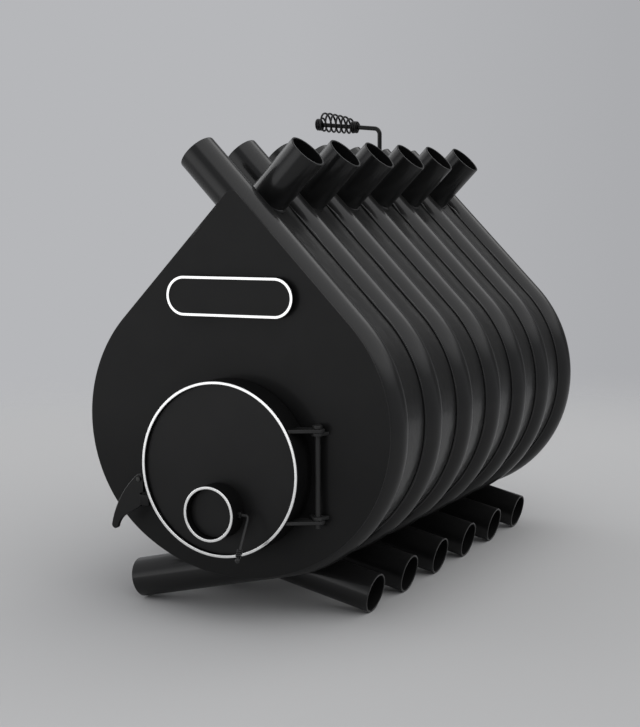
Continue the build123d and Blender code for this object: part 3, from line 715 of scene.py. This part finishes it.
door = {"height": 284 * mm, "segments": 200, "wall": 5 * mm, "rimWidth": 5.4 * mm,
        "retainerWall": 3 * mm, "neckEdge": 0.6 * mm, "bandEdge": 0.7 * mm, "rimEdge": 1.0 * mm,
        "discEdge": 0.5 * mm, "discSteps": 240, "retainerEdge": 0.4 * mm}
inlet = {"height": 209 * mm, "radius": 51 * mm, "bore": 46 * mm, "edge": 0.6 * mm,
         "rimEdge": 0.9 * mm, "segments": 120}
doorAxis = axle(0, door["height"], door["segments"])
inletAxis = axle(0, inlet["height"], inlet["segments"])
doorShine = polishedSteel("polishedDoorRim", door["height"])
inletShine = polishedSteel("polishedInletRim", inlet["height"])


def doorRing(name, node, wall, edge, material, body):
    radius = halfWidth(node)
    ringPiece(name, node, radius - wall, radius, edge, doorAxis, material, body)


doorRing("doorNeck", "door_neck", door["wall"], door["neckEdge"], black, "stove")
doorRing("doorBand", "door_band", door["wall"], door["bandEdge"], paintedShadeBlack, "door")
doorRing("doorRim", "door_rim", door["rimWidth"], door["rimEdge"], doorShine, "door")

# the disc is a slab between its own edge and the inlet's hole, which is off its centre
bearing = wholeTurn(door["discSteps"])
lift = door["height"] - inlet["height"]
reach = (lift * np.sin(bearing)
         + np.sqrt(halfWidth("door_disc") ** 2 - (lift * np.cos(bearing)) ** 2))
edge, hole = ([0, inlet["height"]] + r * polar(bearing) for r in (reach[:, None], inlet["bore"]))
uprightPiece("doorDisc", "door_disc", edge, door["discEdge"], discBlack, "door", hole)

# rope: a rounded section whose surface swells with the knitted yarns
gasket = {"width": 14 * mm, "sides": 20, "steps": 720, "yarns": 110, "strands": 3,
          "swell": 0.05, "squareness": 0.7}
front, back = depths("door_gasket")
turn, around = wholeTurn(gasket["sides"])[:, None], wholeTurn(gasket["steps"])
ways = [1 + np.cos(gasket["strands"] * turn + way * gasket["yarns"] * around) for way in (1, -1)]
swell = 1 - gasket["swell"] * ways[0] * ways[1] / 2
across, through = (np.abs(wave) ** gasket["squareness"] * np.sign(wave)
                   for wave in (np.cos(turn), np.sin(turn)))
reach = halfWidth("door_gasket") - gasket["width"] / 2 + across * gasket["width"] / 2 * swell
level = (front + back) / 2 + through * (back - front) / 2 * swell
grid = np.stack([reach * np.cos(around), level, door["height"] + reach * np.sin(around)], -1)
makePiece("doorGasket", [(grid, True, True)], fibre, "door", ["door_gasket"])
doorRing("gasketRetainer", "gasket_retainer", door["retainerWall"], door["retainerEdge"], scale,
         "door")
print("stage: door made")


# Air inlet with its throttle

throttle = {
    "discEdge": 0.5 * mm,
    "rod": 2.5 * mm,
    "reach": 72 * mm,
    "arm": 84 * mm,
    "lean": np.radians(30),
    "bend": 7 * mm,
    "bead": 4.5 * mm,
    "wire": 1.25 * mm,
    "coilRadius": 4.5 * mm,
    "coilPitch": 3.4 * mm,
    "coilTurns": 4,
    "bushRadius": 6 * mm,
    "bushLength": 7 * mm,
    "bushEdge": 0.5 * mm,
}
for name, node, rimEdge, material in (("inletCollar", "inlet_collar", inlet["edge"], paintedShadeBlack),
                                      ("inletRim", "inlet_rim", inlet["rimEdge"], inletShine)):
    ringPiece(name, node, inlet["bore"], inlet["radius"], rimEdge, inletAxis, material, "door")
profile = rod(halfWidth("throttle_disc"), *depths("throttle_disc"), throttle["discEdge"])
makePiece("throttleDisc", [(turned(profile, **inletAxis), False, True)], discBlack, "throttle",
          ["throttle_disc"])

spindle = np.array([0, jointAt["throttle_spindle"][1], inlet["height"]])
armDown = np.array([0, -np.sin(throttle["lean"]), -np.cos(throttle["lean"])])
hint = np.array([0, np.cos(throttle["lean"]), -np.sin(throttle["lean"])])
start = spindle - [inlet["radius"] + throttle["bushLength"], 0, 0]
elbow = spindle + [throttle["reach"], 0, 0]
tip = elbow + armDown * throttle["arm"]
path = softened([start, elbow, tip], throttle["bend"], closed=False, steps=10)
along, radii = rounded(path, throttle["rod"])
# the last point and its dome give way to a bead: the wire's radius swells to it and closes
turn = np.linspace(0.22 * np.pi, np.pi, 14)
beadPath = tip - armDown * (throttle["bead"] * np.cos(turn))[:, None]
along = np.concatenate([along[:-domeSteps - 1], beadPath])
radii = np.concatenate([radii[:-domeSteps - 1], throttle["bead"] * np.sin(turn)])
wirePiece("throttleRod", "throttle_rod", along, hint, radii, 20, paintedLightBlackened, "throttle")


def helix(origin, axis, up, along, height, depth, lean=0.0):
    # points origin + along * axis + height * up + depth * side
    side = np.cross(axis, up)
    return (origin + (along + lean * height)[:, None] * axis + height[:, None] * up
            + depth[:, None] * side)


turns = np.linspace(0, throttle["coilTurns"], throttle["coilTurns"] * 24 + 1)
low = throttle["arm"] - throttle["bead"] - throttle["wire"] - stove["seatGap"]
angle = 2 * np.pi * turns
coil = helix(elbow, armDown, np.array([1.0, 0, 0]), low - turns * throttle["coilPitch"],
             throttle["coilRadius"] * np.cos(angle), -throttle["coilRadius"] * np.sin(angle))
coilPath, coilRadii = rounded(coil, throttle["wire"])
wirePiece("throttleCoil", "throttle_coil", coilPath, armDown, coilRadii, 10, paintedLightBlackened, "throttle")
bushPair("throttleBushes", "throttle_bushes", spindle, throttle["rod"], throttle["bushRadius"],
         inlet["radius"], throttle["bushLength"], throttle["bushEdge"], 40, "door")
print("stage: inlet made")


# Hinge: pin, brackets on the plate and arms on the drum

hinge = {
    "pinRadius": 5 * mm,
    "headRadius": 9 * mm,
    "headHeight": 6 * mm,
    "pinRounding": [0, 0.9 * mm, 0.3 * mm, 0.8 * mm, 0.9 * mm, 0],
    "thickness": 6 * mm,
    "play": 0.5 * mm,
    "eye": 13 * mm,
    "armRoot": (127.5 * mm, 20 * mm),   # middle and width, where the arm meets the drum
    "armDepth": (3 * mm, 41 * mm),      # from the drum's front edge
    "bracketEye": 11 * mm,
    "bracketFoot": (-5 * mm, 40 * mm),  # middle from the pin, and width, on the plate
    "bracketLift": 2 * mm,
}
pinX, pinY = jointAt["door_hinge"][:2]
pinLow, pinHigh = (corner[2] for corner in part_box("hinge_pin"))
headLow = pinHigh - hinge["headHeight"]
pinProfile = softened([(pinLow, 0), (pinLow, hinge["pinRadius"]), (headLow, hinge["pinRadius"]),
                       (headLow, hinge["headRadius"]), (pinHigh, hinge["headRadius"]),
                       (pinHigh, 0)], hinge["pinRounding"], closed=False)
pin = turned(pinProfile, (pinX, pinY, 0), (0, 0, 1), (1, 0, 0), 48)
makePiece("hingePin", [(pin, False, True)], paintedLightBlackened, "stove", ["hinge_pin"])


def hullOutline(centre, radius, sides, corners, count=140):
    # the stretched band round a circle and some corners, evenly spaced and counter-clockwise
    points = np.concatenate([circle(centre, radius, sides), corners])
    hull = np.array([points[k] for k in convex_hull_2d([tuple(p) for p in points])])
    area = np.sum(hull[:, 0] * np.roll(hull[:, 1], -1) - np.roll(hull[:, 0], -1) * hull[:, 1])
    hull = hull if area > 0 else hull[::-1]
    ring = np.concatenate([hull, hull[:1]])
    run = travelled(ring)
    even = np.linspace(0, run[-1], count, endpoint=False)
    return sampled(ring, run, np.unique(np.concatenate([even, run[:-1]])))


def hingeSlabs(middle, width, near, far, eye, levels):
    root = [(middle + a * width / 2, y) for a in (-1, 1) for y in (near, far)]
    outline = hullOutline((pinX, pinY), eye, 72, root)
    return [slab(outline, level, level + hinge["thickness"]) for level in levels]


armLow, armHigh = (corner[2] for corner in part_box("hinge_arms"))
armLevels = [armHigh - hinge["thickness"], armLow]
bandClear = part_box("door_band")[1][0] + 0.05 * mm
drumFront = depths("door_band")[0]
arms = hingeSlabs(*hinge["armRoot"], *(drumFront + depth for depth in hinge["armDepth"]),
                  hinge["eye"], armLevels)
for grid in arms:
    clear = np.sqrt(bandClear ** 2 - (grid[..., 2] - door["height"]) ** 2)
    grid[..., 0] = np.maximum(grid[..., 0], clear)      # the arms end on the drum's outside
makePiece("hingeArms", [(grid, False, True) for grid in arms], hingePaintedLight, "door",
          ["hinge_arms"], capped=True)

plateFront = depths("front_plate")[0]
footShift, footWidth = hinge["bracketFoot"]
brackets = hingeSlabs(pinX + footShift, footWidth, plateFront, plateFront - hinge["bracketLift"],
                      hinge["bracketEye"],
                      (armLevels[0] - hinge["play"] - hinge["thickness"],
                       armLevels[1] + hinge["thickness"] + hinge["play"]))
makePiece("hingeBrackets", [(grid, False, True) for grid in brackets], hingePaintedLight, "stove",
          ["hinge_brackets"], capped=True)
print("stage: hinge made")


# Latch: claw-shaped lever on a bolt through the drum's lug, and the keeper on the plate

latch = {
    "pivot": np.array([-177, 252]) * mm,
    "eye": 9 * mm,
    # the lever's outline from its back round the claw to its nose, outwards and down from the
    # pivot: three arcs through the first six points, then a line with rounded corners
    "lever": np.array([(39.5, 32.5), (63.5, 92), (56, 99.5), (48.5, 92), (39, 77), (24, 67),
                       (-2, 52), (-2, 27), (-9, 25), (-9, 0)]) * mm,
    "leverRounding": np.array([0, 2, 2, 2, 0]) * mm,
    "leverEdge": 1.2 * mm,
    # the way the lever's painted edge highlight faces, in x and z: up and to the left
    "highlightFacing": (-0.7, 0.7),
    "lugRoot": (-152.5 * mm, 5 * mm, 26 * mm),  # middle, half width and half height
    "lugEdge": 0.6 * mm,
    "keeperSide": -160 * mm,
    "keeperGap": 1.5 * mm,
    "keeperRounding": 1.6 * mm,
}
bolt = {"across": 8 * mm, "rounding": 1 * mm, "head": 3.5 * mm, "radius": 2.5 * mm,
        "edge": 0.6 * mm, "shankEdge": 0.5 * mm}
pivot, eye = latch["pivot"], latch["eye"]
corners = pivot - latch["lever"]
leverOutline = np.concatenate([
    circle(pivot, eye, 64)[:24],
    arcThrough(pivot + eye * np.sqrt(0.5) * np.array([-1, 1]), *corners[:2], 48),
    arcThrough(*corners[1:4], 16)[1:],
    arcThrough(*corners[3:6], 16)[1:],
    softened(corners[5:], latch["leverRounding"], closed=False)[1:-1]])
# a painted highlight on the lever's edges that face up and to the left, as though they caught the light
paintedEdgeHighlight = (edgeHighlightBand(latch["leverEdge"])[:, None]
          * np.clip(outwards(leverOutline) @ latch["highlightFacing"], 0, 1))
uprightPiece("latchLever", "latch_lever", leverOutline, latch["leverEdge"], forged, "latch",
             wearAndHighlight=paintedEdgeHighlight)

rootX, halfRoot, halfRise = latch["lugRoot"]
lugRoot = [(rootX + a * halfRoot, pivot[1] + b * halfRise) for a in (-1, 1) for b in (-1, 1)]
grid = slab(hullOutline(pivot, eye, 64, lugRoot), *depths("latch_lug"), latch["lugEdge"])
axisPoint = np.array([0, door["height"]])
fromAxis = grid[..., :2] - axisPoint
distance = np.linalg.norm(fromAxis, axis=-1, keepdims=True)
grid[..., :2] = np.where(distance < bandClear, axisPoint + fromAxis / distance * bandClear,
                         grid[..., :2])
makePiece("latchLug", [(standing(grid), False, True)], flatBlack, "door", ["latch_lug"],
          capped=True)

low, high = depths("latch_bolt")
hexagon = softened(circle(pivot, bolt["across"] / np.sqrt(3), 6, np.pi / 6), bolt["rounding"],
                   steps=3)
nuts = [(standing(slab(hexagon, a, a + bolt["head"], bolt["edge"])), False, True)
        for a in (low, high - bolt["head"])]
shank = turned(rod(bolt["radius"], low - bolt["shankEdge"], high, bolt["shankEdge"]),
               **axle(*pivot, 32))
makePiece("latchBolt", nuts + [(shank, False, True)], steel, "door", ["latch_bolt"], capped=True)

low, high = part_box("latch_keeper")
lipBack = depths("latch_lever")[0] - latch["keeperGap"]
keeperOutline = softened([(high[0], high[1]), (latch["keeperSide"], high[1]),
                          (latch["keeperSide"], lipBack), (low[0], lipBack), (low[0], low[1]),
                          (high[0], low[1])], latch["keeperRounding"])
makePiece("latchKeeper", [(slab(keeperOutline, low[2], high[2]), False, True)], flatBlack,
          "stove", ["latch_keeper"], capped=True)
print("stage: latch made")


# Name plate: bare field, bright border and studs

sign = {"height": 596.5 * mm, "length": 264 * mm, "width": 74 * mm, "edge": 0.6 * mm,
        "border": 5.2 * mm, "borderEdge": 0.5 * mm, "stud": 4 * mm, "spacing": 150 * mm}


def stadium(inset=0.0, count=60):
    # two half circles joined by straight edges, counter-clockwise from the right
    arc = (sign["width"] / 2 - inset) * polar(np.linspace(-np.pi / 2, np.pi / 2, count))
    arc = arc + [(sign["length"] - sign["width"]) / 2, 0]
    return [0, sign["height"]] + np.concatenate([arc, -arc])


borderShine = polishedSteel("polishedBorder", sign["height"])
uprightPiece("namePlate", "name_plate", stadium(), sign["edge"], flatBlack, "stove")
uprightPiece("namePlateBorder", "name_plate_border", stadium(), sign["borderEdge"], borderShine,
             "stove", stadium(sign["border"]))
profile = rod(sign["stud"], *depths("name_plate_studs"))
studs = [(turned(profile, **axle(x, sign["height"], 32)), False, True)
         for x in (sign["spacing"] / 2, -sign["spacing"] / 2)]
makePiece("namePlateStuds", studs, black, "stove", ["name_plate_studs"])
print("stage: name plate made")


# Flue outlet with its damper and spring handle

flue = {
    "height": 600 * mm,
    "bore": 72 * mm,
    "radius": 75 * mm,
    "shoulder": 76 * mm,
    "spigot": 55 * mm,
    "rounding": np.array([0.5, 0.5, 0.4, 0.4, 0.8, 0.8]) * mm,
    "rod": 5.5 * mm,
    "bend": 15 * mm,
    "bushRadius": 11 * mm,
    "bushLength": 10 * mm,
    "bushEdge": 0.6 * mm,
    "discEdge": 0.5 * mm,
    "cut": 30 * mm,             # half width of the disc's draught cut-out
    "cutDepth": 32 * mm,
    "cutRise": 20 * mm,         # from the cut-out's floor up its sides
    "cutRounding": 2 * mm,
    "rivetAt": 40 * mm,
    "rivetHead": 2 * mm,
    "rivetRadius": (5 * mm, 4.2 * mm),
    "rivetRounding": np.array([0, 0.5, 0.8, 0]) * mm,
}
low, high = depths("flue_pipe")
spigotStart = high - flue["spigot"]
pipeProfile = softened([(low, flue["bore"]), (low, flue["shoulder"]),
                        (spigotStart, flue["shoulder"]), (spigotStart, flue["radius"]),
                        (high, flue["radius"]), (high, flue["bore"])], flue["rounding"])
pipe = turned(pipeProfile, **axle(0, flue["height"], 128))
makePiece("fluePipe", [(pipe, True, True)], black, "stove", ["flue_pipe"])
damper = np.array([0, jointAt["damper_spindle"][1], flue["height"]])
bushPair("flueBushes", "flue_bushes", damper, flue["rod"], flue["bushRadius"], flue["shoulder"],
         flue["bushLength"], flue["bushEdge"], 48, "stove")

discRadius, cut = halfWidth("flue_damper_disc"), flue["cut"]
notch = flue["height"] + discRadius - flue["cutDepth"]
sides = notch + flue["cutRise"]
turn = np.linspace(np.arccos(cut / discRadius), -np.pi - np.arccos(cut / discRadius), 150)
discOutline = np.concatenate([
    [0, flue["height"]] + discRadius * polar(turn),
    softened([(-cut, sides), (-cut, notch), (cut, notch), (cut, sides)], flue["cutRounding"],
             closed=False)])
uprightPiece("flueDamperDisc", "flue_damper_disc", discOutline[::-1], flue["discEdge"], forged,
             "flue_damper")
high = depths("flue_damper_rivets")[1]
low = high - flue["rivetHead"]
profile = softened([(low, 0), (low, flue["rivetRadius"][0]), (high, flue["rivetRadius"][1]),
                    (high, 0)], flue["rivetRounding"], closed=False)
rivets = [(turned(profile, **axle(x, flue["height"], 32)), False, True)
          for x in (flue["rivetAt"], -flue["rivetAt"])]
makePiece("flueDamperRivets", rivets, forged, "flue_damper", ["flue_damper_rivets"])

handle = {
    "reach": 213.6 * mm,
    "height": 948 * mm,
    "rise": np.radians(4.9),
    "length": 179 * mm,
    "tail": 89 * mm,
    "stopStart": 60 * mm,
    "stopLength": 13 * mm,
    "stopRadius": 10.35 * mm,
    "stopBore": 5.8 * mm,
    "stopEdge": 0.8 * mm,
    "coilStart": 62 * mm,
    "wire": 2.5 * mm,
    "endRadius": 12.9 * mm,
    "endTurns": 2.5,
    "openTurns": 6.8,
    "endPitch": 5.1 * mm,
    "openPitch": 14.476 * mm,
    "swell": 6 * mm,
    "flare": 6 * mm,
    "lift": 2.5 * mm,
    "liftFlare": 6.5 * mm,
    "lean": 0.17,
    "phase": np.radians(160),
}
below = damper - [handle["reach"], 0, 0]
corner = np.array([*below[:2], handle["height"]])
outward = np.array([-np.cos(handle["rise"]), 0, np.sin(handle["rise"])])
upward = np.array([np.sin(handle["rise"]), 0, np.cos(handle["rise"])])
path = softened([damper + [handle["tail"], 0, 0], below, corner,
                 corner + outward * handle["length"]], flue["bend"], closed=False, steps=12)
along, radii = rounded(path, flue["rod"], flatness=0.35)
wirePiece("flueDamperRod", "flue_damper_rod", along, np.array([0.0, 1, 0]), radii, 28, forged,
          "flue_damper")

# spring handle: close end turns, and open turns whose radius and lift swell towards the tip
turns = np.linspace(0, handle["openTurns"] + 2 * handle["endTurns"], 420)
share = np.clip((turns - handle["endTurns"]) / handle["openTurns"], 0, 1)
bulge = 1 - (2 * share - 1) ** 6
area = share - ((2 * share - 1) ** 7 + 1) / 14      # under the bulge, from the start
coilRadius = handle["endRadius"] + (handle["swell"] + handle["flare"] * share) * bulge
coilLift = (handle["lift"] + handle["liftFlare"] * share) * bulge
alongCoil = (handle["coilStart"] + handle["endPitch"] * turns
             + (handle["openPitch"] - handle["endPitch"]) * handle["openTurns"] * area)
angle = handle["phase"] - 2 * np.pi * turns
coil = helix(corner, outward, upward, alongCoil, coilLift + coilRadius * np.sin(angle),
             -coilRadius * np.cos(angle), handle["lean"])
coilPath, coilRadii = rounded(coil, handle["wire"])
wirePiece("flueHandleCoil", "flue_handle_coil", coilPath, outward, coilRadii, 12, forged,
          "flue_damper")
stops = []
for start in (handle["stopStart"], handle["length"] - handle["stopLength"] - handle["stopEdge"]):
    profile = hoop(handle["stopBore"], handle["stopRadius"], start, start + handle["stopLength"],
                   handle["stopEdge"])
    stops.append((turned(profile, corner, outward, upward, 40), True, True))
makePiece("flueHandleStops", stops, forged, "flue_damper", ["flue_handle_stops"])
print("stage: flue and handle made")


# Plain inner pieces keep their CAD shape

for node, material in (("flame_baffle", scale), ("injectors", scale), ("neck_sill", black)):
    inner = frame["nodes"][node]
    inner.data.materials.clear()
    inner.data.materials.append(material)


# Floor, world and camera

studio = {
    "floorColour": "#bababa",
    "floorRoughness": 0.8,
    "floorRadius": 3.75,
    "floorFade": 2.2,
    "floorSides": 96,
    "floorAt": (0, 0.45, -0.0005),
    "backdrop": "#b6b7ba",
    "sideColour": "#abacaf",    # the backdrop towards the right
    "sideRange": (-0.46, -0.26),
    "dimColour": "#5e5e5f",     # the backdrop behind and to the right, where the studio is darker
    "dimAxis": (0.36, 0.85, 0.38),
    "dimRange": (0.80, 0.93),   # cosines of the angle from that axis
    "glows": (                  # axis, its cosines, heights and radiance of each soft light
        ((0.62, 0.10, 0.78), (0.50, 0.63), (0.28, 0.48), 1.2),
        ((0.31, 0.73, 0.61), (0.955, 0.99), (0.45, 0.60), 1.2),
        ((-0.90, 0.10, 0.30), (0.81, 0.99), (0.56, 0.40), 2.2),
        ((-0.48, -0.86, -0.14), (0.82, 0.98), (-0.30, -0.20), 1.12),
    ),
}

floorMaterial, tree, place = newMaterial("paleFloor")
distance = addNode(tree, "ShaderNodeVectorMath", {"operation": "LENGTH"}, {0: place})
fade = ramp(tree, distance.outputs["Value"],
            (studio["floorRadius"] - studio["floorFade"], studio["floorRadius"]),
            kind="SMOOTHSTEP")
stone = addNode(tree, "ShaderNodeBsdfPrincipled", {"Base Color": linear(studio["floorColour"]),
                                                   "Roughness": studio["floorRoughness"]})
clear = addNode(tree, "ShaderNodeBsdfTransparent")
finishMaterial(tree, {}, {0: fade, 1: stone.outputs[0], 2: clear.outputs[0]},
               "ShaderNodeMixShader")
mesh = bpy.data.meshes.new("floor")
rim = circle((0, 0), studio["floorRadius"], studio["floorSides"])
mesh.from_pydata([(x, y, 0) for x, y in rim.tolist()], [], [list(range(len(rim)))])
mesh.materials.append(floorMaterial)
floor = bpy.data.objects.new("floor", mesh)
floor.location = studio["floorAt"]
scene.collection.objects.link(floor)

world = bpy.data.worlds.new("studio")
scene.world = world
world.use_nodes = True
tree = world.node_tree
tree.nodes.clear()
direction = addNode(tree, "ShaderNodeTexCoord").outputs["Generated"]


def towards(axis, span):
    # 0 to 1 as a direction comes near the axis
    cosine = addNode(tree, "ShaderNodeVectorMath",
                     {"operation": "DOT_PRODUCT", 1: unit(np.array(axis)).tolist()},
                     {0: direction})
    return ramp(tree, cosine.outputs["Value"], span)


plain = blend(tree, towards((1, 0, 0), studio["sideRange"]), studio["backdrop"],
              studio["sideColour"])
shade = blend(tree, towards(studio["dimAxis"], studio["dimRange"]), plain, studio["dimColour"])
light = addNode(tree, "ShaderNodeBackground", {"Strength": 1.0}, {"Color": shade})
for axis, cosines, heights, radiance in studio["glows"]:
    both = addNode(tree, "ShaderNodeMath", {"operation": "MULTIPLY"},
                   {0: towards(axis, cosines), 1: towards((0, 0, 1), heights)})
    power = addNode(tree, "ShaderNodeMath", {"operation": "MULTIPLY", 1: radiance},
                    {0: both.outputs[0]})
    soft = addNode(tree, "ShaderNodeBackground", links={"Strength": power.outputs[0]})
    light = addNode(tree, "ShaderNodeAddShader", links={0: light.outputs[0], 1: soft.outputs[0]})
addNode(tree, "ShaderNodeOutputWorld", links={"Surface": light.outputs[0]})

# The camera stands where the photograph's did, worked out from the tubes' mouths and the door's
# rings
shot = {"at": (1.362936, -2.426452, 0.778036), "yaw": 26.405, "pitch": -6.363, "roll": -0.287,
        "focalPixels": 1498.7, "imageHeight": 727, "sensor": 36, "farthest": 50}
yaw, pitch, roll = (np.radians(shot[k]) for k in ("yaw", "pitch", "roll"))
lookAlong = Vector((-np.sin(yaw) * np.cos(pitch), np.cos(yaw) * np.cos(pitch), np.sin(pitch)))
level = Vector((np.cos(yaw), np.sin(yaw), 0))
above = level.cross(lookAlong)
rightWay = np.cos(roll) * level + np.sin(roll) * above
upWay = -np.sin(roll) * level + np.cos(roll) * above
lens = bpy.data.cameras.new("camera")
lens.sensor_width = shot["sensor"]
lens.lens = shot["focalPixels"] / shot["imageHeight"] * lens.sensor_width
lens.clip_end = shot["farthest"]
camera = bpy.data.objects.new("camera", lens)
turning = Matrix((rightWay, upWay, -lookAlong)).transposed().to_4x4()
camera.matrix_world = Matrix.Translation(shot["at"]) @ turning
scene.collection.objects.link(camera)
scene.camera = camera
scene.view_settings.view_transform = "Standard"
print("stage: studio made")
